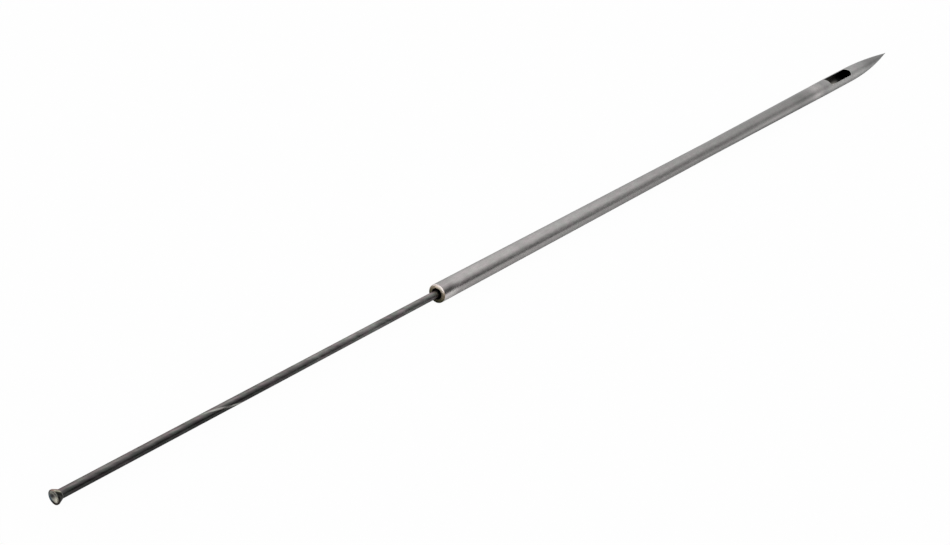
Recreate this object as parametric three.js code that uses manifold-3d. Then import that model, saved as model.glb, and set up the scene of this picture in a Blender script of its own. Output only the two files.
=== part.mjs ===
// A hollow tufting needle with its plunger drawn out, lying on a bench with its eye up.
// Millimetres. +X runs from the open mouth to the point, +Z is up, and Z = 0 is the bench.
// Inside the needle group X is counted from the mouth. The outer group moves the origin to the
// middle of the whole length, on the bench.

import * as THREE from "three";
import { mergeVertices } from "three/addons/utils/BufferGeometryUtils.js";
import Module from "manifold-3d";

const wasm = await Module();
wasm.setup();

// Driving dimensions: the hollow needle
const needleLength = 304.8; // mouth to tip, 12 in
const tubeDiameter = 4.76; // 3/16 in
const boreDiameter = 2.8;
const mouthOuterRound = 0.3;
const mouthInnerBreak = 0.08;
const swellLength = 86; // the tube swells over this length, up to the weld
const weldToEye = 11.3; // weld seam to the eye's near end
const eyeLength = 21.3;
const eyeWidth = 3.9;
const eyeNearCorner = 1.2; // corner radius at the eye's near end, seen from above
const chamberWall = 0.9; // wall left beside the hollow under the eye
const chamberPastEye = 6; // the hollow runs on past the eye's far end
const eyeBodyWidth = 6; // across the swollen body at the eye
const eyeBodyHeight = 5.35;
const pointLength = 42.3; // far end of the eye to the tip
const tipHeight = 4.0; // tip above the bench
const tipRadius = 0.12;
const pointFullness = 2.2; // 1 is a straight cone, higher is a fuller leaf shape
const tipRisePower = 2.5; // how late along the point the centre line climbs to the tip

// Driving dimensions: the plunger
const plungerOut = 109.7; // mouth to the outer face of the head, as drawn out here
const rodDiameter = 1.88;
const rodEndBreak = 0.2;
const rodShortOfEyeEnd = 4.5; // rod's inner end to the eye's far end when the head is pushed home
const homeClearance = 0.3; // along the needle, between the head's cone and the bore's edge, pushed home
const headDiameter = 3;
const headLength = 1.3;
const headRimLength = 0.3;
const headRimRound = 0.1;
const headRimFlat = 0.22;
const headDishDepth = 0.4;
const headNeckDiameter = 2.0;
const spigotDiameter = 1.2; // turned end of the rod, set into the head
const spigotLength = 0.7;
const spigotClearance = 0.05;

// Facets
const sides = 24;
const roundSides = 24;
const swellSteps = 8;
const eyeBodySteps = 6;
const pointSteps = 12;
const neckSteps = 3; // from the weld to the eye
const endArcSteps = 10;
const ballSteps = 5;
const dishSteps = 4;

// Places along the needle, from the mouth
const tipAt = needleLength;
const eyeFar = tipAt - pointLength;
const eyeNear = eyeFar - eyeLength;
const weldAt = eyeNear - weldToEye;
const swellFrom = weldAt - swellLength;
const headFace = -plungerOut;
const neckFace = headFace + headLength;

// A quarter round, at its middle, stands this share of its radius back from both of its edges.
const roundMidShare = 1 - Math.SQRT1_2;
const cutterOverrun = 1; // how far a cutter starts outside the part it cuts

// Half sizes
const tubeRadius = tubeDiameter / 2;
const boreRadius = boreDiameter / 2;
const rodRadius = rodDiameter / 2;
const headRadius = headDiameter / 2;
const neckRadius = headNeckDiameter / 2;
const chamberRadius = eyeBodyWidth / 2 - chamberWall;

// The head's cone fits the bore this far past the neck. It meets the bore where the mouth's inner break
// ends, and that sets how far the plunger goes in.
const coneLength = headLength - headRimLength;
const coneIntoMouth = (coneLength * (boreRadius - neckRadius)) / (headRadius - neckRadius);
const travelIn = plungerOut - headLength + mouthInnerBreak + coneIntoMouth - homeClearance;
const rodInnerEnd = eyeFar - rodShortOfEyeEnd - travelIn;

// Materials
const tubeSteel = new THREE.MeshStandardMaterial({ color: 0x9a9896, roughness: 0.38, metalness: 1 });
const pointSteel = new THREE.MeshStandardMaterial({ color: 0x838382, roughness: 0.5, metalness: 1 });
const rodSteel = new THREE.MeshStandardMaterial({ color: 0x4a4847, roughness: 0.45, metalness: 1 });
const headSteel = new THREE.MeshStandardMaterial({ color: 0x8f8a82, roughness: 0.4, metalness: 1 });

// How much of the swell the body has at x: none on the plain tube, all of it at the eye, and a
// straight taper between them.
function swellAt(x) {
  return THREE.MathUtils.clamp((x - swellFrom) / (eyeNear - swellFrom), 0, 1);
}

// The share of the full section that is left at x along the point.
function pointShareAt(x) {
  const left = THREE.MathUtils.clamp((tipAt - x) / pointLength, 0, 1);
  return 1 - Math.pow(1 - left, pointFullness);
}

function halfWidthAt(x) {
  const full = THREE.MathUtils.lerp(tubeRadius, eyeBodyWidth / 2, swellAt(x));
  return Math.max(full * pointShareAt(x), tipRadius);
}

function halfHeightAt(x) {
  const full = THREE.MathUtils.lerp(tubeRadius, eyeBodyHeight / 2, swellAt(x));
  return Math.max(full * pointShareAt(x), tipRadius);
}

// Height of the centre line: the underside lies on the bench up to the eye's far end, and the point
// climbs to the tip.
function centreHeightAt(x) {
  const body = THREE.MathUtils.lerp(tubeRadius, eyeBodyHeight / 2, swellAt(x));
  const climb = Math.pow(THREE.MathUtils.clamp((x - eyeFar) / pointLength, 0, 1), tipRisePower);
  return THREE.MathUtils.lerp(body, tipHeight, climb);
}

// A ring of points around the centre line at x, with flats at the stated half sizes and one flat
// facing straight down, so that the needle lies still.
function ringAt(x, halfWidth, halfHeight, count) {
  const toCorner = 1 / Math.cos(Math.PI / count);
  const ring = [];
  for (let k = 0; k < count; k += 1) {
    const angle = ((k + 0.5) * 2 * Math.PI) / count;
    const y = Math.cos(angle) * halfWidth * toCorner;
    const z = centreHeightAt(x) + Math.sin(angle) * halfHeight * toCorner;
    ring.push([x, y, z]);
  }
  return ring;
}

function outerRing(x, shrink = 0) {
  return ringAt(x, halfWidthAt(x) - shrink, halfHeightAt(x) - shrink, sides);
}

// The hollow runs on from the plain bore and opens out to the chamber under the eye.
function hollowRadiusAt(x) {
  return THREE.MathUtils.lerp(boreRadius, chamberRadius, swellAt(x));
}

function hollowRing(x, grow = 0) {
  const radius = hollowRadiusAt(x) + grow;
  return ringAt(x, radius, radius, sides);
}

// Joins rings of equal length into one closed skin. A closed loop of rings makes a hollow body.
// Otherwise both ends get a flat cap.
function skin(rings, loop) {
  const count = rings[0].length;
  const positions = rings.flat(2);
  const index = [];
  const lastJoin = loop ? rings.length : rings.length - 1;
  for (let i = 0; i < lastJoin; i += 1) {
    const here = i * count;
    const next = ((i + 1) % rings.length) * count;
    for (let k = 0; k < count; k += 1) {
      const k2 = (k + 1) % count;
      index.push(here + k, here + k2, next + k2);
      index.push(here + k, next + k2, next + k);
    }
  }
  if (!loop) {
    const end = (rings.length - 1) * count;
    for (let k = 1; k < count - 1; k += 1) {
      index.push(0, k + 1, k);
      index.push(end, end + k, end + k + 1);
    }
  }
  const geometry = new THREE.BufferGeometry();
  geometry.setAttribute("position", new THREE.Float32BufferAttribute(positions, 3));
  geometry.setIndex(index);
  geometry.computeVertexNormals();
  return geometry;
}

// Evenly spaced places from start to end, both included.
function placesBetween(start, end, steps) {
  return Array.from({ length: steps + 1 }, (_, i) => THREE.MathUtils.lerp(start, end, i / steps));
}

// A closed profile of [x, radius] points turned about the line at the plain tube's axis height.
function turned(profile) {
  const points = profile.map(([x, radius]) => new THREE.Vector2(radius, x));
  const geometry = new THREE.LatheGeometry(points, roundSides);
  geometry.rotateZ(-Math.PI / 2);
  geometry.translate(0, 0, tubeRadius);
  return geometry;
}

function toSolid(geometry) {
  const bare = geometry.clone();
  bare.deleteAttribute("normal");
  bare.deleteAttribute("uv");
  const merged = mergeVertices(bare, 1e-5);
  const mesh = new wasm.Mesh({
    numProp: 3,
    vertProperties: new Float32Array(merged.attributes.position.array),
    triVerts: new Uint32Array(merged.index.array),
  });
  return new wasm.Manifold(mesh);
}

function toGeometry(solid) {
  const mesh = solid.getMesh();
  const geometry = new THREE.BufferGeometry();
  geometry.setAttribute("position", new THREE.Float32BufferAttribute(mesh.vertProperties, mesh.numProp));
  geometry.setIndex(Array.from(mesh.triVerts));
  geometry.computeVertexNormals();
  return geometry;
}

// The plain tube, with a rounded outer edge and a broken inner edge at its mouth, and a swollen end.
function needleTube() {
  const swell = placesBetween(swellFrom, weldAt, swellSteps);
  const roundMid = mouthOuterRound * roundMidShare;
  const outside = [
    outerRing(0, mouthOuterRound),
    outerRing(roundMid, roundMid),
    outerRing(mouthOuterRound),
    ...swell.map((x) => outerRing(x)),
  ];
  const inside = [
    ...swell.map((x) => hollowRing(x)).reverse(),
    hollowRing(mouthInnerBreak),
    hollowRing(0, mouthInnerBreak),
  ];
  return skin([...outside, ...inside], true);
}

// The stations of the point's body, from the weld to the tip.
function pointPlaces() {
  const beforeEye = placesBetween(weldAt, eyeNear, neckSteps);
  const besideEye = placesBetween(eyeNear, eyeFar, eyeBodySteps).slice(1);
  const spear = placesBetween(eyeFar, tipAt, pointSteps).slice(1);
  return [...beforeEye, ...besideEye, ...spear];
}

// The hollow in the point: it meets the tube's bore at the weld, opens out under the eye and ends in
// a ball a little past it.
function chamber() {
  const ballCentre = eyeFar + chamberPastEye - chamberRadius;
  const straight = [...placesBetween(weldAt, eyeNear, neckSteps), eyeFar, ballCentre];
  const ball = placesBetween(0, Math.PI / 2, ballSteps).slice(1, -1);
  const rings = straight.map((x) => hollowRing(x));
  rings.unshift(hollowRing(weldAt - cutterOverrun));
  for (const angle of ball) {
    const radius = chamberRadius * Math.cos(angle);
    rings.push(ringAt(ballCentre + chamberRadius * Math.sin(angle), radius, radius, sides));
  }
  return skin(rings, false);
}

// The eye seen from above: rounded corners at the near end, fully round at the far end.
function eyeOutline() {
  const half = eyeWidth / 2;
  const cornerX = eyeNear + eyeNearCorner;
  const cornerY = half - eyeNearCorner;
  const outline = new THREE.Shape();
  outline.moveTo(cornerX, -half);
  outline.lineTo(eyeFar - half, -half);
  outline.absarc(eyeFar - half, 0, half, -Math.PI / 2, Math.PI / 2, false);
  outline.lineTo(cornerX, half);
  outline.absarc(cornerX, cornerY, eyeNearCorner, Math.PI / 2, Math.PI, false);
  outline.absarc(cornerX, -cornerY, eyeNearCorner, Math.PI, 1.5 * Math.PI, false);
  return outline;
}

// The cutter for the eye: the outline drawn upwards from the middle of the chamber.
function eyeCutter() {
  const block = new THREE.ExtrudeGeometry(eyeOutline(), {
    depth: eyeBodyHeight,
    bevelEnabled: false,
    curveSegments: endArcSteps,
  });
  block.translate(0, 0, centreHeightAt(eyeNear));
  return toSolid(block);
}

// The forged point: swollen body with the eye and its chamber, then the solid spear.
function needlePoint() {
  const body = toSolid(skin(pointPlaces().map((x) => outerRing(x)), false));
  return toGeometry(body.subtract(toSolid(chamber())).subtract(eyeCutter()));
}

// The plunger's rod: a plain wire with a turned spigot at the head end.
function plungerRod() {
  const spigotRadius = spigotDiameter / 2;
  return turned([
    [neckFace - spigotLength, 0],
    [neckFace - spigotLength, spigotRadius],
    [neckFace, spigotRadius],
    [neckFace, rodRadius],
    [rodInnerEnd - rodEndBreak, rodRadius],
    [rodInnerEnd, rodRadius - rodEndBreak],
    [rodInnerEnd, 0],
  ]);
}

// The plunger's head: a dished button with a rim, a cone down to its neck and a socket for the rod.
function plungerHead() {
  const socketRadius = spigotDiameter / 2 + spigotClearance;
  const socketEnd = neckFace - spigotLength - spigotClearance;
  const faceEdge = headRadius - headRimRound;
  const dishRadius = faceEdge - headRimFlat;
  const dish = placesBetween(0, 1, dishSteps).map((share) => {
    return [headFace + headDishDepth * (1 - share * share), dishRadius * share];
  });
  return turned([
    ...dish,
    [headFace, faceEdge],
    [headFace + headRimRound, headRadius],
    [headFace + headRimLength, headRadius],
    [neckFace, neckRadius],
    [neckFace, socketRadius],
    [socketEnd, socketRadius],
    [socketEnd, 0],
  ]);
}

function named(name, geometry, material) {
  const mesh = new THREE.Mesh(geometry, material);
  mesh.name = name;
  return mesh;
}

const needle = new THREE.Group();
needle.add(named("needle_tube", needleTube(), tubeSteel));
needle.add(named("needle_point", needlePoint(), pointSteel));

const plunger = new THREE.Group();
plunger.add(named("plunger_rod", plungerRod(), rodSteel));
plunger.add(named("plunger_head", plungerHead(), headSteel));

const tuftingNeedle = new THREE.Group();
tuftingNeedle.add(needle, plunger);
tuftingNeedle.position.x = -(tipAt + headFace) / 2;

export default tuftingNeedle;
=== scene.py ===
"""The looks of a hollow tufting needle with its plunger drawn out, lying on a pale floor.

The fine meshes follow the same driving sizes as the CAD. Lengths are millimetres counted from the
mouth of the tube until place() turns them into the frame's metres.
"""

import math

import bmesh
import bpy
from mathutils import Matrix, Vector


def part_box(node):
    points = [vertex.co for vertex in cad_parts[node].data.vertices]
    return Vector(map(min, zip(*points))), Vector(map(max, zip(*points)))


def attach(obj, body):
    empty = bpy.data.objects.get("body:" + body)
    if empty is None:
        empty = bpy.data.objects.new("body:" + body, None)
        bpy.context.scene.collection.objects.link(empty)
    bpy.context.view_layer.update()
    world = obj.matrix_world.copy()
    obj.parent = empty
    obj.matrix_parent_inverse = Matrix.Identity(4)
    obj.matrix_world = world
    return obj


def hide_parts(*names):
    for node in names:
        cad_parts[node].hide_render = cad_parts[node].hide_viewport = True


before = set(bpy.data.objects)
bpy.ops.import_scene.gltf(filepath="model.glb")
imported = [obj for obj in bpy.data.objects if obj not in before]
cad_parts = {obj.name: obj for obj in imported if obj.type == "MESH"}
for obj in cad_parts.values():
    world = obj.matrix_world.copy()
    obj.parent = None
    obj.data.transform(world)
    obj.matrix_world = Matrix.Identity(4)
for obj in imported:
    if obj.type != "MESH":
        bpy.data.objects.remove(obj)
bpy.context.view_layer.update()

MM = 0.001
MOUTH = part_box("needle_tube")[0].x / MM


def from_mouth(metres):
    """A place along the frame's X, in millimetres from the mouth."""
    return metres / MM - MOUTH


# Places along the needle, from the CAD solids
WELD = from_mouth(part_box("needle_tube")[1].x)
TIP = from_mouth(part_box("needle_point")[1].x)
HEAD_FACE = from_mouth(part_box("plunger_head")[0].x)
NECK_FACE = from_mouth(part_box("plunger_head")[1].x)
ROD_INNER_END = from_mouth(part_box("plunger_rod")[1].x)
SPIGOT_END = from_mouth(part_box("plunger_rod")[0].x)

# Driving sizes of the hollow needle
TUBE_RADIUS = 2.38
BORE_RADIUS = 1.4
MOUTH_OUTER_ROUND = 0.3
MOUTH_INNER_BREAK = 0.08
SWELL_LENGTH = 86.0
WELD_TO_EYE = 11.3
POINT_LENGTH = 42.3
EYE_HALF_WIDTH = 1.95
EYE_NEAR_CORNER = 1.2
EYE_RIM_ROUND = 0.16
CHAMBER_RADIUS = 2.1
CHAMBER_PAST_EYE = 6.0
EYE_BODY_HALF_WIDTH = 3.0
EYE_BODY_HALF_HEIGHT = 2.675
TIP_HEIGHT = 4.0
TIP_RADIUS = 0.12
POINT_FULLNESS = 2.2
TIP_RISE_POWER = 2.5

# Driving sizes of the plunger
ROD_RADIUS = 0.94
ROD_END_BREAK = 0.2
HEAD_RADIUS = 1.5
HEAD_RIM_LENGTH = 0.3
HEAD_RIM_ROUND = 0.1
HEAD_RIM_FLAT = 0.22
HEAD_DISH_DEPTH = 0.4
HEAD_NECK_RADIUS = 1.0
SPIGOT_RADIUS = 0.6
SPIGOT_CLEARANCE = 0.05

# Places that follow from the sizes
EYE_FAR = TIP - POINT_LENGTH
EYE_NEAR = WELD + WELD_TO_EYE
SWELL_FROM = WELD - SWELL_LENGTH
CHAMBER_END = EYE_FAR + CHAMBER_PAST_EYE
BALL_CENTRE = CHAMBER_END - CHAMBER_RADIUS


def clamp01(value):
    return min(max(value, 0.0), 1.0)


def mix(a, b, share):
    return a + (b - a) * share


def spread(start, end, steps):
    """Evenly spaced places from start to end, both included."""
    return [mix(start, end, i / steps) for i in range(steps + 1)]


# The shape of the needle


def swell_at(x):
    """How much of the swell the body has at x: none on the plain tube, all of it at the eye."""
    return clamp01((x - SWELL_FROM) / (EYE_NEAR - SWELL_FROM))


def point_share_at(x):
    """The share of the full section that is left at x along the point."""
    left = clamp01((TIP - x) / POINT_LENGTH)
    return 1 - (1 - left) ** POINT_FULLNESS


def tip_cap_at(x):
    """The smallest half size at x, which rounds the tip off."""
    inside = clamp01((TIP - x) / TIP_RADIUS)
    return TIP_RADIUS * math.sqrt(1 - (1 - inside) ** 2)


def centre_at(x):
    """Height of the centre line at x."""
    body = mix(TUBE_RADIUS, EYE_BODY_HALF_HEIGHT, swell_at(x))
    climb = clamp01((x - EYE_FAR) / POINT_LENGTH) ** TIP_RISE_POWER
    return mix(body, TIP_HEIGHT, climb)


def outside_at(x, cut=0.0):
    """Half width and half height of the outer skin at x, with a cut taken off it."""
    share = point_share_at(x)
    least = tip_cap_at(x)
    wide = mix(TUBE_RADIUS, EYE_BODY_HALF_WIDTH, swell_at(x)) * share
    high = mix(TUBE_RADIUS, EYE_BODY_HALF_HEIGHT, swell_at(x)) * share
    return max(wide, least) - cut, max(high, least) - cut


def hollow_at(x, cut=0.0):
    """Half width and half height of the hollow at x, widened by a cut into the wall. The bore opens
    out to the chamber under the eye, which ends in a ball."""
    radius = mix(BORE_RADIUS, CHAMBER_RADIUS, swell_at(x))
    if x > BALL_CENTRE:
        radius = math.sqrt(max(CHAMBER_RADIUS**2 - (x - BALL_CENTRE) ** 2, 0.0))
    return radius + cut, radius + cut


# Mesh making


def place(x, y, z):
    """A point in millimetres from the mouth, in the frame's metres."""
    return Vector((MOUTH + x, y, z)) * MM


def section_point(x, half, angle):
    """The point of the section at x that lies at an angle from straight up, towards +Y."""
    return place(x, half[0] * math.sin(angle), centre_at(x) + half[1] * math.cos(angle))


def ring(mesh, x, half, angles):
    """New points of the section at x."""
    return [mesh.verts.new(section_point(x, half, angle)) for angle in angles]


def join(mesh, one, two, closed, material):
    """Faces between two rows of points of equal length."""
    count = len(one)
    for i in range(count if closed else count - 1):
        corners = [one[i], one[(i + 1) % count], two[(i + 1) % count], two[i]]
        kept = [v for k, v in enumerate(corners) if v not in corners[:k]]
        if len(kept) > 2:
            mesh.faces.new(kept).material_index = material


def fan(mesh, row, point, material):
    """Faces between a closed row of points and one point."""
    centre = mesh.verts.new(point)
    for i in range(len(row)):
        mesh.faces.new([row[i], row[(i + 1) % len(row)], centre]).material_index = material


# Edges that turn by more than this many degrees stay sharp
SHARP_ANGLE = 40


def finish_piece(mesh, name, materials, body, node):
    """Turns a closed bmesh into a smooth piece that stands for a CAD node."""
    bmesh.ops.recalc_face_normals(mesh, faces=mesh.faces)
    data = bpy.data.meshes.new(name)
    mesh.to_mesh(data)
    mesh.free()
    for material in materials:
        data.materials.append(material)
    for face in data.polygons:
        face.use_smooth = True
    data.set_sharp_from_angle(angle=math.radians(SHARP_ANGLE))
    piece = bpy.data.objects.new(name, data)
    bpy.context.scene.collection.objects.link(piece)
    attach(piece, body)
    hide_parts(node)
    return piece


# Material slots of the needle's two pieces. The mouth's belong to the tube alone
OUTSIDE, INSIDE, MOUTH_FACE, MOUTH_EDGE = range(4)

# How finely the tube's mesh is divided
TUBE_SIDES = 72
MOUTH_ROUND_STEPS = 6
PLAIN_FROM = 4
PLAIN_STEPS = 12
SWELL_STEPS = 28
BORE_PLACES = [60.0, 12.0, 3.0, MOUTH_INNER_BREAK]

# The broken inner edge: each ring's place and its cut, as shares of the break
INNER_BREAK_SHARES = [(0.3, 0.7), (0.0, 1.0)]


def around(count):
    """Evenly spaced angles of a whole turn."""
    return [2 * math.pi * i / count for i in range(count)]


def build_tube(materials):
    """The tube: a rounded outer edge and a broken inner edge at the mouth, and a swollen front end. A
    row has its place, the cut into the wall there and the material of the faces that lead to it."""
    mesh = bmesh.new()
    swell_places = spread(SWELL_FROM, WELD, SWELL_STEPS)
    rows = []
    for turn in spread(0, math.pi / 2, MOUTH_ROUND_STEPS):
        behind = MOUTH_OUTER_ROUND * (1 - math.cos(turn))
        rows.append((behind, MOUTH_OUTER_ROUND * (1 - math.sin(turn)), MOUTH_EDGE))
    rows += [(x, 0.0, OUTSIDE) for x in spread(PLAIN_FROM, SWELL_FROM, PLAIN_STEPS) + swell_places[1:]]
    rows += [(x, 0.0, INSIDE) for x in swell_places[::-1] + BORE_PLACES]
    for behind_share, cut_share in INNER_BREAK_SHARES:
        rows.append((MOUTH_INNER_BREAK * behind_share, MOUTH_INNER_BREAK * cut_share, INSIDE))
    first = last = None
    for x, cut, material in rows:
        half = hollow_at(x, cut) if material == INSIDE else outside_at(x, cut)
        row = ring(mesh, x, half, around(TUBE_SIDES))
        if last:
            join(mesh, last, row, True, material)
        else:
            first = row
        last = row
    join(mesh, last, first, True, MOUTH_FACE)
    return finish_piece(mesh, "tube_shell", materials, "needle", "needle_tube")


# How finely the point's mesh is divided
EYE_CORNER_STEPS = 8
EYE_SIDE_STEPS = 14
EYE_FAR_STEPS = 14
EYE_TOP_STEPS = 6
EYE_BODY_SIDES = 64
EYE_RIM_STEPS = 4
EYE_WALL_STEPS = 4
NECK_STEPS = 8
SPEAR_STEPS = 44
BALL_STEPS = 8

# The first ring's distance from the eye: before it, behind it, and behind it in the hollow
NECK_GAP = 1.0
SPEAR_GAP = 0.6
HOLLOW_GAP = 0.8

# Rings crowd towards the eye by a power, and round the tip at shares of its radius
SPEAR_CROWDING = 0.75
TIP_SHARES = (0.75, 0.5, 0.25, 0.06)


def eye_side(offset):
    """One side of the eye's outline seen from above, moved outwards by offset, from the near end's
    corner to the middle of the far end."""
    corner = Vector((EYE_NEAR + EYE_NEAR_CORNER, EYE_HALF_WIDTH - EYE_NEAR_CORNER))
    far = Vector((EYE_FAR - EYE_HALF_WIDTH, 0.0))
    points = []
    for turn in spread(math.pi, math.pi / 2, EYE_CORNER_STEPS):
        reach = EYE_NEAR_CORNER + offset
        points.append(corner + reach * Vector((math.cos(turn), math.sin(turn))))
    for x in spread(corner.x, far.x, EYE_SIDE_STEPS)[1:]:
        points.append(Vector((x, EYE_HALF_WIDTH + offset)))
    for turn in spread(math.pi / 2, 0, EYE_FAR_STEPS)[1:]:
        reach = EYE_HALF_WIDTH + offset
        points.append(far + reach * Vector((math.cos(turn), math.sin(turn))))
    points[-1].y = 0.0
    return points


def eye_loop(offset):
    """The whole outline: the +Y side, the -Y side back to the near end, and across the near end."""
    side = eye_side(offset)
    other = [Vector((p.x, -p.y)) for p in reversed(side[:-1])]
    corner = side[0]
    near_end = [Vector((corner.x, y)) for y in spread(-corner.y, corner.y, EYE_TOP_STEPS)[1:-1]]
    return side + other + near_end


def top_height(p, size_at):
    """Height of a skin's upper side over a point of the plan."""
    wide, high = size_at(p.x)
    return centre_at(p.x) + high * math.sqrt(max(1 - (p.y / wide) ** 2, 0.0))


def slotted_skin(mesh, before, after, offset, size_at, material):
    """A skin along the needle with the eye's outline left open on top. Returns its first ring, its
    last ring and the loop of points round the opening."""
    side = eye_side(offset)

    def open_angles(p):
        edge = math.asin(min(p.y / size_at(p.x)[0], 1.0))
        return spread(edge, 2 * math.pi - edge, EYE_BODY_SIDES)

    near_edge = math.asin(side[0].y / size_at(side[0].x)[0])
    top_angles = spread(2 * math.pi - near_edge, 2 * math.pi + near_edge, EYE_TOP_STEPS)[1:-1]
    closed_angles = open_angles(side[0]) + top_angles
    rings = [ring(mesh, x, size_at(x), closed_angles) for x in before + [side[0].x]]
    for one, two in zip(rings, rings[1:]):
        join(mesh, one, two, True, material)
    open_rings = [rings[-1][: EYE_BODY_SIDES + 1]]
    for p in side[1:-1]:
        open_rings.append(ring(mesh, p.x, size_at(p.x), open_angles(p)))
    far = ring(mesh, side[-1].x, size_at(side[-1].x), around(EYE_BODY_SIDES))
    open_rings.append(far + [far[0]])
    for one, two in zip(open_rings, open_rings[1:]):
        join(mesh, one, two, False, material)
    last = far
    for x in after:
        row = ring(mesh, x, size_at(x), around(EYE_BODY_SIDES))
        join(mesh, last, row, True, material)
        last = row
    left_side = [row[0] for row in open_rings]
    right_side = [row[-1] for row in reversed(open_rings[:-1])]
    loop = left_side + right_side + rings[-1][EYE_BODY_SIDES + 1 :]
    return rings[0], last, loop


def build_point(materials):
    """The point: swollen body, eye with rounded rims, the hollow under it and the solid spear."""
    mesh = bmesh.new()
    neck = spread(WELD, EYE_NEAR - NECK_GAP, NECK_STEPS)
    shares = spread(0, 1, SPEAR_STEPS)[:-1]
    spear = [mix(EYE_FAR + SPEAR_GAP, TIP, share**SPEAR_CROWDING) for share in shares]
    spear = sorted(spear + [TIP - TIP_RADIUS * share for share in TIP_SHARES])
    start, nose, rim = slotted_skin(mesh, neck, spear, EYE_RIM_ROUND, outside_at, OUTSIDE)
    fan(mesh, nose, place(TIP, 0, TIP_HEIGHT), OUTSIDE)
    turns = spread(0, math.pi / 2, BALL_STEPS)[1:-1]
    beyond = [EYE_FAR + HOLLOW_GAP, BALL_CENTRE]
    beyond += [BALL_CENTRE + CHAMBER_RADIUS * math.sin(turn) for turn in turns]
    hollow_start, hollow_end, floor = slotted_skin(mesh, neck, beyond, 0.0, hollow_at, INSIDE)
    fan(mesh, hollow_end, place(CHAMBER_END, 0, centre_at(CHAMBER_END)), INSIDE)
    join(mesh, start, hollow_start, True, INSIDE)
    above = rim
    for turn in spread(0, math.pi / 2, EYE_RIM_STEPS)[1:]:
        offset = EYE_RIM_ROUND * (1 - math.sin(turn))
        drop = EYE_RIM_ROUND * (1 - math.cos(turn))
        row = [mesh.verts.new(place(p.x, p.y, top_height(p, outside_at) - drop)) for p in eye_loop(offset)]
        join(mesh, above, row, True, OUTSIDE)
        above = row
    outline = eye_loop(0.0)
    for share in spread(0, 1, EYE_WALL_STEPS)[1:-1]:
        row = []
        for p in outline:
            high = top_height(p, outside_at) - EYE_RIM_ROUND
            row.append(mesh.verts.new(place(p.x, p.y, mix(high, top_height(p, hollow_at), share))))
        join(mesh, above, row, True, INSIDE)
        above = row
    join(mesh, above, floor, True, INSIDE)
    return finish_piece(mesh, "spear_point", materials, "needle", "needle_point")


# Material slots of the rod and of the button
WIRE = 0
DISH, CONE = range(2)

# How finely the plunger's meshes are divided
ROD_SIDES = 48
ROD_STEPS = 48
HEAD_SIDES = 72
EDGE_STEPS = 5
DISH_STEPS = 14
CONE_STEPS = 10

# The plain stretch of the rod stays this far from its ends
ROD_END_GAP = 1.0


def turned_piece(profile, sides, name, materials, body, node, slot):
    """Turns a profile of (x, radius, material) about the plain tube's axis. Both ends lie on the axis."""
    mesh = bmesh.new()
    last = None
    for x, radius, material in profile:
        if radius == 0.0:
            if last is None:
                start = place(x, 0, TUBE_RADIUS)
            else:
                fan(mesh, last, place(x, 0, TUBE_RADIUS), material)
            continue
        row = []
        for angle in around(sides):
            height = TUBE_RADIUS + radius * math.cos(angle)
            row.append(mesh.verts.new(place(x, radius * math.sin(angle), height)))
        if last is None:
            fan(mesh, row, start, material)
        else:
            join(mesh, last, row, True, material)
        last = row
    return finish_piece(mesh, name, materials, body, node)


def arc(centre_x, centre_radius, reach, start, end, steps):
    """Points of a round in a turned profile, by turn from the +X direction towards larger radius."""
    points = []
    for turn in spread(start, end, steps):
        points.append((centre_x + reach * math.cos(turn), centre_radius + reach * math.sin(turn)))
    return points


def build_rod(materials):
    """The rod: a plain wire with a rounded inner end and a spigot at its outer end."""
    spigot = [(SPIGOT_END, 0.0), (SPIGOT_END, SPIGOT_RADIUS), (NECK_FACE, SPIGOT_RADIUS)]
    wire = [(x, ROD_RADIUS) for x in spread(NECK_FACE + ROD_END_GAP, ROD_INNER_END - ROD_END_GAP, ROD_STEPS)]
    round_x = ROD_INNER_END - ROD_END_BREAK
    end_round = arc(round_x, ROD_RADIUS - ROD_END_BREAK, ROD_END_BREAK, math.pi / 2, 0, EDGE_STEPS)
    profile = spigot + [(NECK_FACE, ROD_RADIUS)] + wire + end_round + [(ROD_INNER_END, 0.0)]
    profile = [(x, radius, WIRE) for x, radius in profile]
    return turned_piece(profile, ROD_SIDES, "plunger_wire", materials, "plunger", "plunger_rod", "rod_steel")


def build_head(materials):
    """The button: a dished face, a rounded rim, a cone down to the neck and a socket for the spigot."""
    face_edge = HEAD_RADIUS - HEAD_RIM_ROUND
    dish_radius = face_edge - HEAD_RIM_FLAT
    rim_x = HEAD_FACE + HEAD_RIM_ROUND
    shares = spread(0, 1, DISH_STEPS)
    dish = [(HEAD_FACE + HEAD_DISH_DEPTH * (1 - share**2), dish_radius * share) for share in shares]
    rim = arc(rim_x, face_edge, HEAD_RIM_ROUND, math.pi, math.pi / 2, EDGE_STEPS)
    cone_x = spread(HEAD_FACE + HEAD_RIM_LENGTH, NECK_FACE, CONE_STEPS)
    cone = list(zip(cone_x, spread(HEAD_RADIUS, HEAD_NECK_RADIUS, CONE_STEPS)))
    socket_radius = SPIGOT_RADIUS + SPIGOT_CLEARANCE
    socket_end = SPIGOT_END - SPIGOT_CLEARANCE
    socket = [(NECK_FACE, socket_radius), (socket_end, socket_radius), (socket_end, 0.0)]
    profile = [(x, radius, DISH) for x, radius in dish + rim]
    profile += [(x, radius, CONE) for x, radius in cone + socket]
    names = ("plunger", "plunger_head", "head_steel")
    return turned_piece(profile, HEAD_SIDES, "plunger_button", materials, *names)


# Materials


def new_material(name):
    """A new node material and its tree."""
    material = bpy.data.materials.new(name)
    material.use_nodes = True
    return material, material.node_tree


def combine(tree, operation, one, two):
    """A Math node on two values, each a socket or a plain number."""
    node = tree.nodes.new("ShaderNodeMath")
    node.operation = operation
    for socket, value in zip(node.inputs, (one, two)):
        if isinstance(value, (int, float)):
            socket.default_value = value
        else:
            tree.links.new(value, socket)
    return node.outputs[0]


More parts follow.
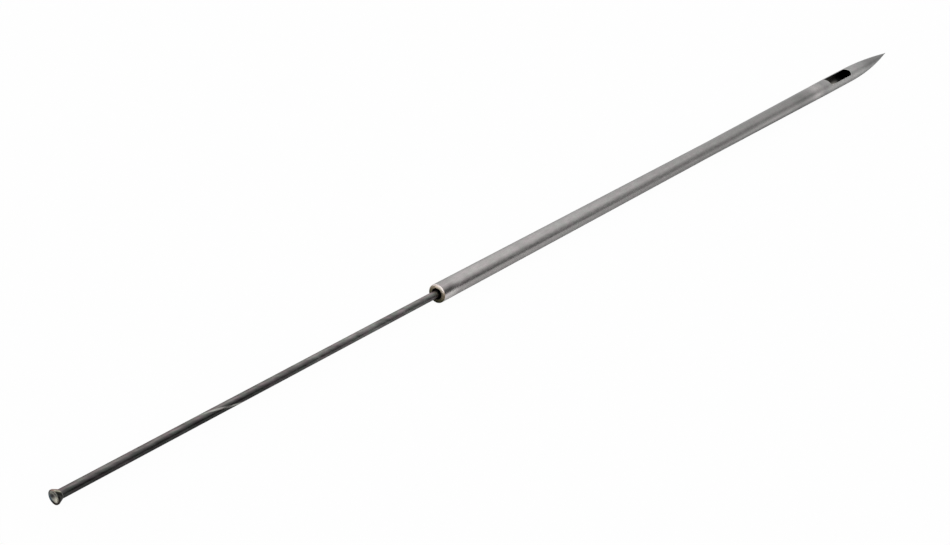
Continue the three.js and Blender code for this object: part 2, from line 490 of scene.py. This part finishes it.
def multiply(tree, first, *others):
    """The product of two or more values."""
    product = first
    for factor in others:
        product = combine(tree, "MULTIPLY", product, factor)
    return product


def vector_math(tree, operation, vector, other):
    """The outputs of a Vector Math node on a socket and a plain vector."""
    node = tree.nodes.new("ShaderNodeVectorMath")
    node.operation = operation
    node.inputs[1].default_value = other
    tree.links.new(vector, node.inputs[0])
    return node.outputs


def axes_of(tree, vector):
    """The X, Y and Z values of a vector, by name."""
    node = tree.nodes.new("ShaderNodeSeparateXYZ")
    tree.links.new(vector, node.inputs[0])
    return node.outputs


def step_between(tree, value, start, end, low=0.0, high=1.0, fall="SMOOTHSTEP"):
    """A climb from low to high while the value goes from start to end."""
    node = tree.nodes.new("ShaderNodeMapRange")
    node.interpolation_type = fall
    node.inputs["From Min"].default_value = start
    node.inputs["From Max"].default_value = end
    node.inputs["To Min"].default_value = low
    node.inputs["To Max"].default_value = high
    tree.links.new(value, node.inputs["Value"])
    return node.outputs[0]


def within(tree, value, span):
    """A share that is 1 between the middle two values of a span and fades to 0 at its two ends."""
    start, whole_from, whole_to, end = span
    begins = step_between(tree, value, start, whole_from)
    ends = step_between(tree, value, whole_to, end, 1.0, 0.0)
    return multiply(tree, begins, ends)


def grain(tree, coordinates, scale, size, detail):
    """Noise in the object's own coordinates, stretched by a scale for each axis."""
    mapping = tree.nodes.new("ShaderNodeMapping")
    mapping.inputs["Scale"].default_value = scale
    noise = tree.nodes.new("ShaderNodeTexNoise")
    noise.inputs["Scale"].default_value = size
    noise.inputs["Detail"].default_value = detail
    tree.links.new(coordinates, mapping.inputs["Vector"])
    tree.links.new(mapping.outputs["Vector"], noise.inputs["Vector"])
    return noise.outputs["Fac"]


def ramp(tree, value, stops):
    """A colour ramp through (place, grey or colour) stops."""
    node = tree.nodes.new("ShaderNodeValToRGB")
    elements = node.color_ramp.elements
    while len(elements) < len(stops):
        elements.new(0.5)
    for element, (position, colour) in zip(elements, stops):
        element.position = position
        element.color = (*colour, 1.0) if isinstance(colour, tuple) else (colour, colour, colour, 1.0)
    tree.links.new(value, node.inputs["Fac"])
    return node.outputs["Color"]


def level_ramp(tree, value, stops, peak):
    """A ramp through (place, level) stops whose levels go up to a peak above 1."""
    shares = [(position, level / peak) for position, level in stops]
    return multiply(tree, ramp(tree, value, shares), peak)


def blend_colours(tree, share, one, two, kind="MIX"):
    """Two colours, each a socket or a plain colour, mixed or multiplied by a share."""
    node = tree.nodes.new("ShaderNodeMix")
    node.data_type = "RGBA"
    node.blend_type = kind
    sockets = [s for s in node.inputs if s.type == "RGBA"]
    for socket, colour in zip(sockets, (one, two)):
        if isinstance(colour, tuple):
            socket.default_value = (*colour, 1.0)
        else:
            tree.links.new(colour, socket)
    if isinstance(share, float):
        node.inputs["Factor"].default_value = share
    else:
        tree.links.new(share, node.inputs["Factor"])
    return [s for s in node.outputs if s.type == "RGBA"][0]


def multiply_colours(tree, one, two):
    return blend_colours(tree, 1.0, one, two, "MULTIPLY")


# Where a point of the surface lies


def along(mm):
    """A place along the needle as a share of its length from mouth to tip."""
    return mm / TIP


def needle_share(tree, coordinates):
    """Share of the needle's length at a point of its surface."""
    x = axes_of(tree, coordinates)["X"]
    return step_between(tree, x, MOUTH * MM, (MOUTH + TIP) * MM, fall="LINEAR")


def from_mouth_socket(tree, coordinates):
    """Millimetres from the mouth at a point of the surface."""
    x = axes_of(tree, coordinates)["X"]
    return combine(tree, "SUBTRACT", multiply(tree, x, 1 / MM), MOUTH)


def from_place(tree, coordinates, factor, start, end):
    """A factor that is 1 at the start and whole from the end on, two places from the mouth. The end may
    lie on either side of the start."""
    hold = step_between(tree, from_mouth_socket(tree, coordinates), start, end)
    return combine(tree, "ADD", multiply(tree, combine(tree, "SUBTRACT", factor, 1.0), hold), 1.0)


# Two directions across the needle: out of its upper right side, and out of its lower right side
UPPER_RIGHT = Vector((0, -0.515, 0.857))
LOWER_RIGHT = Vector((0, -0.857, -0.515))


def across(tree, coordinates, direction, reach):
    """How far out a point lies in a direction across the axis, as a share of a reach: -1 to 1."""
    out = vector_math(tree, "DOT_PRODUCT", coordinates, direction / (reach * MM))["Value"]
    return combine(tree, "SUBTRACT", out, direction.z * TUBE_RADIUS / reach)


def across_share(tree, coordinates, direction, reach):
    """How far out a point lies in a direction across the axis, from 0 to 1, for a ramp."""
    out = across(tree, coordinates, direction, reach)
    return combine(tree, "ADD", multiply(tree, out, 0.5), 0.5)


# The rod's grain and its painted highlight wind about it by this many degrees for each millimetre, and
# are unturned at this place from the mouth
ROD_TWIST = 12.9
UNTURNED_AT = -77.5


def unwound(tree, coordinates, twist):
    """Coordinates about the axis, turned back by the twist, so that a straight line in them winds
    about the piece."""
    lowered = vector_math(tree, "SUBTRACT", coordinates, (0, 0, TUBE_RADIUS * MM))["Vector"]
    turn = tree.nodes.new("ShaderNodeVectorRotate")
    turn.rotation_type = "X_AXIS"
    tree.links.new(lowered, turn.inputs["Vector"])
    reach = combine(tree, "SUBTRACT", from_mouth_socket(tree, coordinates), UNTURNED_AT)
    tree.links.new(multiply(tree, reach, -math.radians(twist)), turn.inputs["Angle"])
    return turn.outputs["Vector"]


# The metals


# What all the metals share: how finely their grain is divided, their broad grain's size and strength
# beside the fine grain's, the stretch of their tint, how far their roughness wanders, and the grain's
# depth in metres
FINE_DETAIL = 3.0
BROAD_DETAIL = 2.0
BROAD_SIZE = 0.3
BROAD_STRENGTH = 0.6
TINT_STRETCH = (400, 900, 900)
ROUGHNESS_SPREAD = 0.05
GRAIN_DEPTH = 0.00002


def metal(name, colour_of, rough, stretch, mottle, bump, size=2.0, edge_tint=0.7, twist=None, stain=0.03):
    """A metal whose colour a function gives, with a speckle in it, mottled roughness and grain in its
    bump. A twist in degrees for each millimetre winds the grain about the axis. A stain tints the
    speckle warm and cool."""
    material, tree = new_material(name)
    shader = tree.nodes["Principled BSDF"]
    shader.inputs["Metallic"].default_value = 1.0
    shader.inputs["Specular Tint"].default_value = (edge_tint, edge_tint, edge_tint, 1.0)
    coordinates = tree.nodes.new("ShaderNodeTexCoord").outputs["Object"]
    grain_places = unwound(tree, coordinates, twist) if twist else coordinates
    fine = grain(tree, grain_places, stretch, size, FINE_DETAIL)
    broad = grain(tree, grain_places, stretch, size * BROAD_SIZE, BROAD_DETAIL)
    tint = grain(tree, coordinates, TINT_STRETCH, 1.0, BROAD_DETAIL)
    broad_mottle = mottle * BROAD_STRENGTH
    fine_speckle = ramp(tree, fine, [(0.32, 1.0 - mottle), (0.68, 1.0 + mottle)])
    broad_speckle = ramp(tree, broad, [(0.35, 1.0 - broad_mottle), (0.65, 1.0 + broad_mottle)])
    warm = (1 + stain, 1 - stain / 2, 1.0)
    cool = (1 - stain / 2, 1 + stain / 2, 1 - stain / 3)
    warm_and_cool = ramp(tree, tint, [(0.35, warm), (0.65, cool)])
    speckle = multiply_colours(tree, multiply_colours(tree, fine_speckle, broad_speckle), warm_and_cool)
    colour = multiply_colours(tree, colour_of(tree, coordinates), speckle)
    tree.links.new(colour, shader.inputs["Base Color"])
    roughness = ramp(tree, fine, [(0.3, rough - ROUGHNESS_SPREAD), (0.7, rough + ROUGHNESS_SPREAD)])
    tree.links.new(roughness, shader.inputs["Roughness"])
    raised = tree.nodes.new("ShaderNodeBump")
    raised.inputs["Strength"].default_value = bump
    raised.inputs["Distance"].default_value = GRAIN_DEPTH
    tree.links.new(fine, raised.inputs["Height"])
    tree.links.new(raised.outputs["Normal"], shader.inputs["Normal"])
    return material


# The painted reflection and painted shadow on the front end's flank take hold between these places, from the
# mouth
FLANK_PAINTED_LIGHT_FROM = 150
FLANK_PAINTED_LIGHT_TO = 188

# The painted reflection behind the mouth is whole up to the first place and gone at the second
MOUTH_REFLECTION_WHOLE_TO = 2.5
MOUTH_REFLECTION_GONE_AT = 7.5


def flank_painted_light(tree, coordinates):
    """Painted reflection and painted shadow: how much brighter the front end is on its lower right flank,
    and darker along its foot, where the shadow under the needle is reflected.
    """
    side = across(tree, coordinates, LOWER_RIGHT, EYE_BODY_HALF_WIDTH)
    stops = [(0.03, 1.0), (0.26, 1.46), (0.385, 1.63), (0.51, 1.47), (0.66, 1.0), (0.78, 0.77)]
    return level_ramp(tree, side, stops, peak=2.0)


def mouth_painted_reflection(tree, coordinates):
    """Painted reflection: how much darker the tube is on its upper right just behind the mouth, and brighter
    below that.
    """
    side = across_share(tree, coordinates, LOWER_RIGHT, TUBE_RADIUS)
    stops = [(0.28, 0.85), (0.42, 0.6), (0.54, 0.4), (0.61, 0.42), (0.71, 1.8), (0.81, 1.6), (0.95, 1.4)]
    return level_ramp(tree, side, stops, peak=2.0)


def tube_colour(tree, coordinates):
    """Drawn tube: palest at the mouth, darkest just before the light band of the weld, with painted
    reflection and shadow on the front end's flank and just behind the mouth.
    """
    stops = [
        (along(0), (0.47, 0.452, 0.447)),
        (along(20), (0.43, 0.415, 0.41)),
        (along(60), (0.4, 0.39, 0.385)),
        (along(140), (0.31, 0.303, 0.298)),
        (along(170), (0.27, 0.265, 0.26)),
        (along(202), (0.26, 0.255, 0.25)),
        (along(214), (0.21, 0.207, 0.203)),
        (along(222), (0.26, 0.253, 0.25)),
        (along(WELD - 3), (0.4, 0.385, 0.38)),
        (along(WELD), (0.4, 0.385, 0.38)),
    ]
    colour = ramp(tree, needle_share(tree, coordinates), stops)
    # Painted reflection on the lower right flank and painted shadow along the foot
    flank_light = flank_painted_light(tree, coordinates)
    flank_light = from_place(tree, coordinates, flank_light, FLANK_PAINTED_LIGHT_FROM, FLANK_PAINTED_LIGHT_TO)
    # Painted reflection just behind the mouth: darker on the upper right, brighter below
    mouth_reflection = mouth_painted_reflection(tree, coordinates)
    mouth_reflection = from_place(tree, coordinates, mouth_reflection, MOUTH_REFLECTION_GONE_AT, MOUTH_REFLECTION_WHOLE_TO)
    return multiply_colours(tree, multiply_colours(tree, colour, flank_light), mouth_reflection)


def point_colour(tree, coordinates):
    """Ground point: a light band by the weld, duller towards the tip, and the flank's painted reflection and
    shadow.
    """
    stops = [
        (along(WELD), (0.4, 0.385, 0.38)),
        (along(WELD + 3), (0.38, 0.37, 0.365)),
        (along(WELD + 5), (0.3, 0.295, 0.295)),
        (along(EYE_NEAR), (0.37, 0.365, 0.36)),
        (along(EYE_FAR + 4), (0.37, 0.367, 0.362)),
        (along(EYE_FAR + 12), (0.32, 0.32, 0.317)),
        (along(EYE_FAR + 20), (0.21, 0.21, 0.208)),
    ]
    colour = ramp(tree, needle_share(tree, coordinates), stops)
    # The flank's painted reflection and painted shadow
    return multiply_colours(tree, colour, flank_painted_light(tree, coordinates))


# The painted light low in the hollow takes hold over this length before the weld
PAINTED_LOW_LIGHT_LENGTH = 10


def scale_and_painted_light_colour(tree, coordinates):
    """The dark skin of the hollow with painted light and shade: lightest low down under the eye's near end,
    where light comes in through the eye, and painted shade towards the eye's far end.
    """
    side = across_share(tree, coordinates, LOWER_RIGHT, CHAMBER_RADIUS)
    levels = [(0.14, 0.15), (0.32, 0.5), (0.5, 1.2), (0.6, 1.8), (0.7, 2.2)]
    painted_low_light = level_ramp(tree, side, levels, peak=2.5)
    painted_low_light = from_place(tree, coordinates, painted_low_light, WELD - PAINTED_LOW_LIGHT_LENGTH, WELD)
    # Painted light under the eye's opening, fading to painted shade beyond it
    stops = [
        (along(0), (0.05, 0.048, 0.04)),
        (along(30), (0.03, 0.03, 0.028)),
        (along(EYE_NEAR - 8), (0.16, 0.155, 0.14)),
        (along(EYE_NEAR + 5), (0.34, 0.33, 0.3)),
        (along(EYE_NEAR + 13.5), (0.3, 0.29, 0.27)),
        (along(EYE_NEAR + 18), (0.05, 0.05, 0.05)),
        (along(EYE_FAR), (0.01, 0.01, 0.01)),
    ]
    colour = ramp(tree, needle_share(tree, coordinates), stops)
    return multiply_colours(tree, colour, painted_low_light)


def painted_light_steel(name, rough, bright, lean):
    """The cut end of the tube, a painted reflection: bright and cream on its upper right, dark olive on the
    other side where it reflects the shadow under the tube. The lean turns the bright side upwards."""
    direction = (UPPER_RIGHT - lean * LOWER_RIGHT).normalized()
    stops = [
        (0.1, (0.03, 0.03, 0.017)),
        (0.35, (0.09, 0.085, 0.05)),
        (0.55, (0.21, 0.175, 0.125)),
        (0.74, (0.33, 0.28, 0.21)),
        (0.87, bright),
    ]

    def painted_light_colour(tree, coordinates):
        return ramp(tree, across_share(tree, coordinates, direction, TUBE_RADIUS), stops)

    return metal(name, painted_light_colour, rough, stretch=(900, 900, 900), mottle=0.15, bump=0.4)


# Between these places the lighter painted shading near the mouth takes over from the darker painted shading
# of the rod's outer end
ROD_LIGHTENS_FROM = -68
ROD_LIGHTENS_TO = -30

# The painted highlight that winds round the rod: where along the rod it starts, is whole from and to, and
# ends.
# Unwound, it lies on one side of the axis and fades in over this many millimetres from there
ROD_HIGHLIGHT_SPAN = (-80.5, -75.5, -66.5, -61.5)
ROD_HIGHLIGHT_HALF_WIDTH = 0.13
ROD_HIGHLIGHT_FADE_IN = 0.3
ROD_HIGHLIGHT_STRENGTH = 0.85
ROD_HIGHLIGHT_COLOUR = (0.42, 0.42, 0.4)

# The painted shadow of the bore on the rod, where it enters the mouth
ROD_SHADOW_SPAN = (-2.0, 0.0, 1.0, 4.0)
ROD_SHADOW_STRENGTH = 0.75
ROD_SHADOW_COLOUR = (0.015, 0.016, 0.015)


def rod_painted_highlight(tree, coordinates):
    """The share of a long painted highlight that winds half a turn round the rod."""
    places = unwound(tree, coordinates, ROD_TWIST)
    offset = vector_math(tree, "DOT_PRODUCT", places, UPPER_RIGHT / MM)["Value"]
    side = vector_math(tree, "DOT_PRODUCT", places, -LOWER_RIGHT / MM)["Value"]
    distance = combine(tree, "ABSOLUTE", offset, 0.0)
    line = step_between(tree, distance, ROD_HIGHLIGHT_HALF_WIDTH, ROD_HIGHLIGHT_HALF_WIDTH * 2, 1.0, 0.0)
    one_side = step_between(tree, side, 0.0, ROD_HIGHLIGHT_FADE_IN)
    stretch = within(tree, from_mouth_socket(tree, coordinates), ROD_HIGHLIGHT_SPAN)
    return multiply(tree, line, one_side, stretch)


def rod_colour(tree, coordinates):
    """Dark oxidised wire with painted shade: lighter along the upper left side and towards the mouth, darker
    below, where the floor shades it.
    """
    outer_stops = [(0.15, (0.19, 0.178, 0.175)), (0.25, (0.19, 0.178, 0.175)), (0.345, 0.11)]
    outer_stops += [(0.45, 0.072), (0.6, 0.058), (0.75, 0.066), (0.9, 0.04)]
    mouth_stops = [(0.2, (0.24, 0.232, 0.226)), (0.335, 0.172), (0.455, 0.134), (0.57, 0.145)]
    mouth_stops += [(0.685, 0.19), (0.8, 0.145), (0.95, 0.155)]
    # Painted light on the rod's upper left and painted shade below it
    side = across_share(tree, coordinates, LOWER_RIGHT, ROD_RADIUS)
    outer_end = ramp(tree, side, outer_stops)
    mouth_end = ramp(tree, side, mouth_stops)
    x = from_mouth_socket(tree, coordinates)
    by_mouth = step_between(tree, x, ROD_LIGHTENS_FROM, ROD_LIGHTENS_TO)
    colour = blend_colours(tree, by_mouth, outer_end, mouth_end)
    # Painted highlight winding round the rod
    painted_highlight = multiply(tree, rod_painted_highlight(tree, coordinates), ROD_HIGHLIGHT_STRENGTH)
    colour = blend_colours(tree, painted_highlight, colour, ROD_HIGHLIGHT_COLOUR)
    # Painted shadow where the rod enters the mouth
    mouth_shadow = multiply(tree, within(tree, x, ROD_SHADOW_SPAN), ROD_SHADOW_STRENGTH)
    return blend_colours(tree, mouth_shadow, colour, ROD_SHADOW_COLOUR)


def spot(tree, plan, centre, inner, outer, flat=1.0):
    """The share of a soft spot on a plan whose reach is 1. It is as many times wider than high as
    flat says."""
    flattened = vector_math(tree, "MULTIPLY", plan, (1.0, flat, 1.0))["Vector"]
    distance = vector_math(tree, "DISTANCE", flattened, (centre[0], centre[1] * flat, 0.0))["Value"]
    return step_between(tree, distance, inner, outer, 1.0, 0.0)


# Colours of the dished face's painted light and shade, and where across it the right side's rim colours take
# over
FACE_STEEL = (0.31, 0.31, 0.27)
FACE_PAINTED_SHADE = (0.05, 0.045, 0.047)
FACE_PAINTED_LIGHT = (0.74, 0.72, 0.61)
RIM_RIGHT_FROM = 0.5
RIM_RIGHT_WHOLE_FROM = 0.62


def head_face_colour(tree, coordinates):
    """The dished face with painted light and shade: a pale painted light low on the right, painted shade on
    the left and painted reflections round the rim.
    """
    plan = tree.nodes.new("ShaderNodeCombineXYZ")
    tree.links.new(across(tree, coordinates, UPPER_RIGHT, HEAD_RADIUS), plan.inputs["X"])
    tree.links.new(across(tree, coordinates, LOWER_RIGHT, HEAD_RADIUS), plan.inputs["Y"])
    plan = plan.outputs["Vector"]
    # Painted light on the lower right of the dish and painted shade on its left
    dish = spot(tree, plan, centre=(0.13, -0.05), inner=0.72, outer=0.86)
    painted_shade_spot = spot(tree, plan, centre=(-0.42, -0.27), inner=0.08, outer=0.55)
    painted_light_spot = spot(tree, plan, centre=(0.32, 0.42), inner=0.3, outer=0.9, flat=1.9)
    left_stops = [(0.05, (0.12, 0.11, 0.1)), (0.3, (0.1, 0.14, 0.17))]
    left_stops += [(0.5, (0.05, 0.07, 0.09)), (0.75, (0.025, 0.018, 0.016))]
    right_stops = [(0.1, (0.3, 0.2, 0.17)), (0.35, 0.05), (0.6, 0.02), (0.8, (0.03, 0.02, 0.018))]
    rim_side = across_share(tree, coordinates, LOWER_RIGHT, HEAD_RADIUS)
    rim_left = ramp(tree, rim_side, left_stops)
    rim_right = ramp(tree, rim_side, right_stops)
    to_right = across_share(tree, coordinates, UPPER_RIGHT, HEAD_RADIUS)
    on_right = step_between(tree, to_right, RIM_RIGHT_FROM, RIM_RIGHT_WHOLE_FROM)
    rim = blend_colours(tree, on_right, rim_left, rim_right)
    colour = blend_colours(tree, painted_shade_spot, FACE_STEEL, FACE_PAINTED_SHADE)
    colour = blend_colours(tree, painted_light_spot, colour, FACE_PAINTED_LIGHT)
    return blend_colours(tree, dish, rim, colour)


# The cone's painted light and shade shift sideways by this share of its reach for each millimetre from the
# rim
CONE_LEAN = 0.21

# The painted highlight at the neck: how far before the neck it starts and is whole, and its colour
NECK_HIGHLIGHT_START = 0.22
NECK_HIGHLIGHT_WHOLE = 0.1
NECK_HIGHLIGHT_COLOUR = (0.15, 0.15, 0.14)


def head_cone_colour(tree, coordinates):
    """The cone behind the head, painted reflections: nearly black along its middle, bright above, with a
    painted highlight at the neck.
    """
    stops = [
        (0.08, (0.33, 0.2, 0.175)),
        (0.15, (0.36, 0.32, 0.26)),
        (0.21, (0.46, 0.46, 0.36)),
        (0.29, (0.035, 0.033, 0.026)),
        (0.45, (0.01, 0.01, 0.009)),
        (0.6, (0.05, 0.05, 0.045)),
        (0.85, (0.04, 0.035, 0.035)),
    ]
    side = across_share(tree, coordinates, LOWER_RIGHT, HEAD_RADIUS)
    x = from_mouth_socket(tree, coordinates)
    from_rim = combine(tree, "SUBTRACT", x, HEAD_FACE + HEAD_RIM_LENGTH)
    shifted = combine(tree, "SUBTRACT", side, multiply(tree, from_rim, CONE_LEAN))
    # Painted reflections across the cone
    colour = ramp(tree, shifted, stops)
    at_neck = step_between(tree, x, NECK_FACE - NECK_HIGHLIGHT_START, NECK_FACE - NECK_HIGHLIGHT_WHOLE)
    return blend_colours(tree, at_neck, colour, NECK_HIGHLIGHT_COLOUR)


# The stage


# How much of the floor is plain white to the camera. The rest is lit and keeps the shadow
FLOOR_WHITE_TO_CAMERA = 0.97

# The metal sees the lit floor, and beside the point a whiter one: frame places in metres
WHITE_FLOOR_FROM_X = 0.04
WHITE_FLOOR_TO_X = 0.09
WHITE_FLOOR_FROM_SIDE = 0.003
WHITE_FLOOR_TO_SIDE = 0.008
FLOOR_WHITE_TO_METAL = 0.9

# The floor's half width in metres, the grey that the light falls on, and how matte it is
FLOOR_REACH = 3.0
FLOOR_GREY = 0.67
FLOOR_ROUGHNESS = 0.9


def floor_material():
    """A matte grey floor that looks white to the camera, and partly white to the metal."""
    material, tree = new_material("pale_floor")
    shader = tree.nodes["Principled BSDF"]
    shader.inputs["Base Color"].default_value = (FLOOR_GREY, FLOOR_GREY, FLOOR_GREY, 1)
    shader.inputs["Roughness"].default_value = FLOOR_ROUGHNESS
    shader.inputs["Specular IOR Level"].default_value = 0.0
    white = tree.nodes.new("ShaderNodeEmission")
    white.inputs["Color"].default_value = (1, 1, 1, 1)
    ray = tree.nodes.new("ShaderNodeLightPath").outputs
    place_axes = axes_of(tree, tree.nodes.new("ShaderNodeTexCoord").outputs["Object"])
    by_point = step_between(tree, place_axes["X"], WHITE_FLOOR_FROM_X, WHITE_FLOOR_TO_X)
    side = combine(tree, "ABSOLUTE", place_axes["Y"], 0.0)
    beside = step_between(tree, side, WHITE_FLOOR_FROM_SIDE, WHITE_FLOOR_TO_SIDE)
    to_camera = multiply(tree, ray["Is Camera Ray"], FLOOR_WHITE_TO_CAMERA)
    to_metal = multiply(tree, ray["Is Glossy Ray"], by_point, beside, FLOOR_WHITE_TO_METAL)
    both = tree.nodes.new("ShaderNodeMixShader")
    tree.links.new(combine(tree, "MAXIMUM", to_camera, to_metal), both.inputs[0])
    tree.links.new(shader.outputs[0], both.inputs[1])
    tree.links.new(white.outputs[0], both.inputs[2])
    tree.links.new(both.outputs[0], tree.nodes["Material Output"].inputs["Surface"])
    return material


def build_floor():
    data = bpy.data.meshes.new("floor")
    reach = FLOOR_REACH
    corners = [(-reach, -reach, 0), (reach, -reach, 0), (reach, reach, 0), (-reach, reach, 0)]
    data.from_pydata(corners, [], [(0, 1, 2, 3)])
    data.materials.append(floor_material())
    floor = bpy.data.objects.new("floor", data)
    bpy.context.scene.collection.objects.link(floor)


# Round patches of the room: the dark wall on the needle's right, and the bright side behind the
# camera. The middle is an azimuth and an elevation, and all angles are degrees
WALL_PATCH = {"middle": (-75, 0), "inner": 34, "outer": 78, "fall": "LINEAR"}
BRIGHT_PATCH = {"middle": (-153, 37), "inner": 22, "outer": 50, "fall": "SMOOTHSTEP"}

# How much of the room's light the wall keeps off, and the heights of its soft top and foot, as the
# upward share of a direction from the needle
WALL_DARKNESS = 0.95
WALL_TOP_FROM = 0.45
WALL_TOP_TO = 0.9
WALL_FOOT_FROM = -0.12
WALL_FOOT_TO = 0.06

# Far ahead of the needle the wall's foot is higher, and the whole wall is higher where the tube
# beside the mouth reflects it: how much higher, and at which forward shares of a direction
FOOT_RISE = 0.28
FOOT_RISE_FROM = 0.8
FOOT_RISE_TO = 0.9
WALL_RISE = 0.12
WALL_RISE_SPAN = (0.69, 0.75, 0.77, 0.82)


def patch(tree, direction, middle, inner, outer, fall):
    """How far a round patch of the room covers a direction: 1 within the inner angle of its middle and
    0 beyond the outer one."""
    azimuth, elevation = (math.radians(angle) for angle in middle)
    level = math.cos(elevation)
    towards = (level * math.cos(azimuth), level * math.sin(azimuth), math.sin(elevation))
    cosine = vector_math(tree, "DOT_PRODUCT", direction, towards)["Value"]
    edges = (math.cos(math.radians(outer)), math.cos(math.radians(inner)))
    return step_between(tree, cosine, *edges, fall=fall)


def dark_wall(tree, direction):
    """How much of the room's light the wall keeps off in a direction."""
    axes = axes_of(tree, direction)
    rise = multiply(tree, within(tree, axes["X"], WALL_RISE_SPAN), WALL_RISE)
    height = combine(tree, "SUBTRACT", axes["Z"], rise)
    top = step_between(tree, height, WALL_TOP_FROM, WALL_TOP_TO, 1.0, 0.0)
    foot_rise = step_between(tree, axes["X"], FOOT_RISE_FROM, FOOT_RISE_TO, 0.0, FOOT_RISE)
    above_foot = combine(tree, "SUBTRACT", height, foot_rise)
    foot = step_between(tree, above_foot, WALL_FOOT_FROM, WALL_FOOT_TO)
    return multiply(tree, top, foot, patch(tree, direction, **WALL_PATCH), WALL_DARKNESS)


def build_world():
    """A white room with a dark low wall on the needle's right and a bright side behind the camera. To
    the camera itself the room is plain white."""
    world = bpy.data.worlds.new("soft_room")
    bpy.context.scene.world = world
    world.use_nodes = True
    tree = world.node_tree
    direction = tree.nodes.new("ShaderNodeTexCoord").outputs["Generated"]
    lit = combine(tree, "SUBTRACT", 1.0, dark_wall(tree, direction))
    room = combine(tree, "ADD", lit, patch(tree, direction, **BRIGHT_PATCH))
    seen = tree.nodes.new("ShaderNodeMix")
    tree.links.new(tree.nodes.new("ShaderNodeLightPath").outputs["Is Camera Ray"], seen.inputs["Factor"])
    tree.links.new(room, seen.inputs["A"])
    seen.inputs["B"].default_value = 1.0
    background = tree.nodes["Background"]
    tree.links.new(seen.outputs["Result"], background.inputs["Strength"])
    background.inputs["Color"].default_value = (1, 1, 1, 1)


# The camera that the photograph was taken with, as fitted to the tube's taper and its round ends:
# its place in millimetres, its angles in degrees and its lens in millimetres
CAMERA_PLACE = Vector((-320.3, -108.7, 183.3))
CAMERA_AZIMUTH = 24.51
CAMERA_ELEVATION = -34.60
CAMERA_ROLL = 23.25
LENS = 48.88
SENSOR_WIDTH = 36.0

# The plunger leans a little in the photograph and not here. Half a pixel of shift shares that out
LENS_SHIFT = (-0.00026, 0.00046)

# How near and how far the camera sees, in metres
CLIP_NEAR = 0.01
CLIP_FAR = 20.0


def build_camera():
    data = bpy.data.cameras.new("camera")
    data.sensor_width = SENSOR_WIDTH
    data.lens = LENS
    data.shift_x, data.shift_y = LENS_SHIFT
    data.clip_start = CLIP_NEAR
    data.clip_end = CLIP_FAR
    camera = bpy.data.objects.new("camera", data)
    bpy.context.scene.collection.objects.link(camera)
    turn = Matrix.Rotation(math.radians(CAMERA_AZIMUTH - 90), 4, "Z")
    tilt = Matrix.Rotation(math.radians(90 + CAMERA_ELEVATION), 4, "X")
    roll = Matrix.Rotation(math.radians(CAMERA_ROLL), 4, "Z")
    camera.matrix_world = Matrix.Translation(CAMERA_PLACE * MM) @ turn @ tilt @ roll
    bpy.context.scene.camera = camera


build_camera()
outside = metal("tube_steel", tube_colour, rough=0.28, stretch=(250, 700, 700), mottle=0.08, bump=0.25)
inside = metal("inner_scale_painted_light", scale_and_painted_light_colour, rough=0.5, stretch=(300, 600, 600), mottle=0.2, bump=0.5)
# The bright colours are the painted highlights of the cut face and its rounded edge
mouth_face = painted_light_steel("mouth_face", rough=0.4, bright=(1.0, 0.88, 0.72), lean=0.424)
mouth_edge = painted_light_steel("mouth_edge", rough=0.6, bright=(0.72, 0.665, 0.64), lean=0.8)
build_tube([outside, inside, mouth_face, mouth_edge])
ground_steel = metal("point_steel", point_colour, rough=0.38, stretch=(500, 700, 700), mottle=0.08, bump=0.4)
build_point([ground_steel, inside])
dark_wire = metal(
    "rod_steel",
    rod_colour,
    rough=0.36,
    stretch=(220, 800, 800),
    mottle=0.28,
    bump=0.7,
    size=2.2,
    edge_tint=0.6,
    twist=ROD_TWIST,
    stain=0.1,
)
build_rod([dark_wire])
dish_face = metal("head_face", head_face_colour, rough=0.26, stretch=(700, 700, 700), mottle=0.14, bump=0.4)
cone_side = metal("head_cone", head_cone_colour, rough=0.3, stretch=(700, 700, 700), mottle=0.12, bump=0.4)
build_head([dish_face, cone_side])
build_floor()
build_world()
bpy.context.scene.view_settings.view_transform = "Standard"
